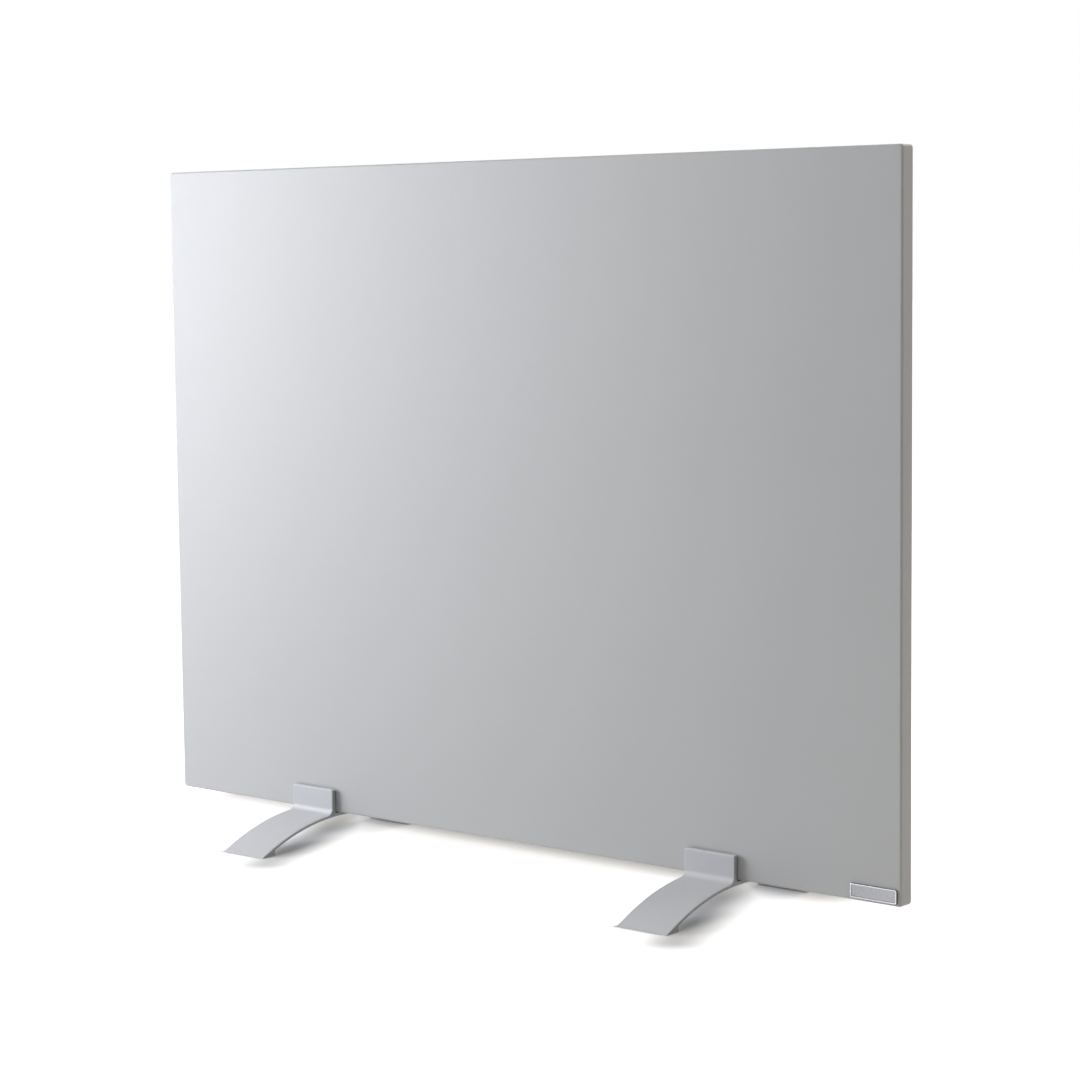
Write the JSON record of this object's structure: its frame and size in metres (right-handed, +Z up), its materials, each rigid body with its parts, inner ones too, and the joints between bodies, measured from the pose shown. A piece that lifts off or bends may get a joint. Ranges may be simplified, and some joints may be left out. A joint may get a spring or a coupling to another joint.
{
  "type": "infrared panel heater",
  "caption": "Thin rectangular sheet-metal infrared panel heater, free-standing on two arched push-on feet, with a connection box and cord gland on the rear.",
  "frame": {"origin": "on the floor, under the middle of the panel's width and of the feet's length", "axes": "+X along the panel to the right seen from the front, -Y out of the heating face towards the room, +Z up"},
  "size_m": [0.7, 0.175, 0.5235],
  "materials": {
    "paint": "satin powder coat, light silver grey",
    "foot_metal": "extruded aluminium, satin silver coating, cut ends lightly deburred",
    "plate_metal": "bright nickel-plated plate with a raised border",
    "fastener": "nickel-plated steel",
    "set_screw": "black oxide steel",
    "galvanised": "galvanised sheet steel",
    "liner": "grey rubber",
    "black_rubber": "black rubber",
    "film": "amber polyimide film",
    "resistance_foil": "etched resistance foil",
    "reflector": "bright aluminium foil",
    "wool": "pressed mineral wool board",
    "housing": "grey moulded plastic, fine texture",
    "nylon": "natural nylon",
    "ceramic": "white glazed ceramic",
    "brass": "plain brass",
    "lead_brown": "silicone insulation",
    "lead_red": "silicone insulation",
    "lead_blue": "silicone insulation",
    "lead_green": "silicone insulation, green and yellow"
  },
  "bodies": {
    "panel": {"front_panel": "paint", "rear_cover": "paint", "nameplate": "plate_metal", "left_clamp_spacer": "galvanised", "right_clamp_spacer": "galvanised", "front_film": "film", "heating_track": "resistance_foil", "rear_film": "film", "reflector_foil": "reflector", "insulation_board": "wool", "live_terminal": "brass", "neutral_terminal": "brass", "thermal_cutout": "ceramic", "box_base": "housing", "box_gasket": "black_rubber", "box_lid": "housing", "terminal_block": "nylon", "lead_grommet": "black_rubber", "earth_stud": "brass", "earth_ring": "brass", "earth_washer": "fastener", "earth_nut": "brass", "live_lead": "lead_brown", "cutout_lead": "lead_red", "neutral_lead": "lead_blue", "earth_lead": "lead_green", "gland_body": "housing", "gland_locknut": "housing", "gland_seal": "black_rubber", "gland_nut": "housing", "cover_screw_1": "fastener", "cover_screw_2": "fastener", "cover_screw_3": "fastener", "cover_screw_4": "fastener", "cover_screw_5": "fastener", "cover_screw_6": "fastener", "cover_screw_7": "fastener", "cover_screw_8": "fastener", "box_screw_1": "fastener", "lid_screw_1": "fastener", "box_screw_2": "fastener", "lid_screw_2": "fastener", "box_screw_3": "fastener", "lid_screw_3": "fastener", "box_screw_4": "fastener", "lid_screw_4": "fastener", "pole_screw_1": "brass", "pole_screw_2": "brass", "pole_screw_3": "brass"},
    "left_foot": {"left_foot": "foot_metal", "left_foot_liner": "liner", "left_foot_screw_1": "set_screw", "left_foot_screw_2": "set_screw"},
    "right_foot": {"right_foot": "foot_metal", "right_foot_liner": "liner", "right_foot_screw_1": "set_screw", "right_foot_screw_2": "set_screw"}
  },
  "joints": [
    {"name": "left_foot_slide", "type": "slide", "parent": "panel", "child": "left_foot", "axis": [0, 0, -1], "range_m": [0, 0.025]},
    {"name": "right_foot_slide", "type": "slide", "parent": "panel", "child": "right_foot", "axis": [0, 0, -1], "range_m": [0, 0.025]}
  ]
}
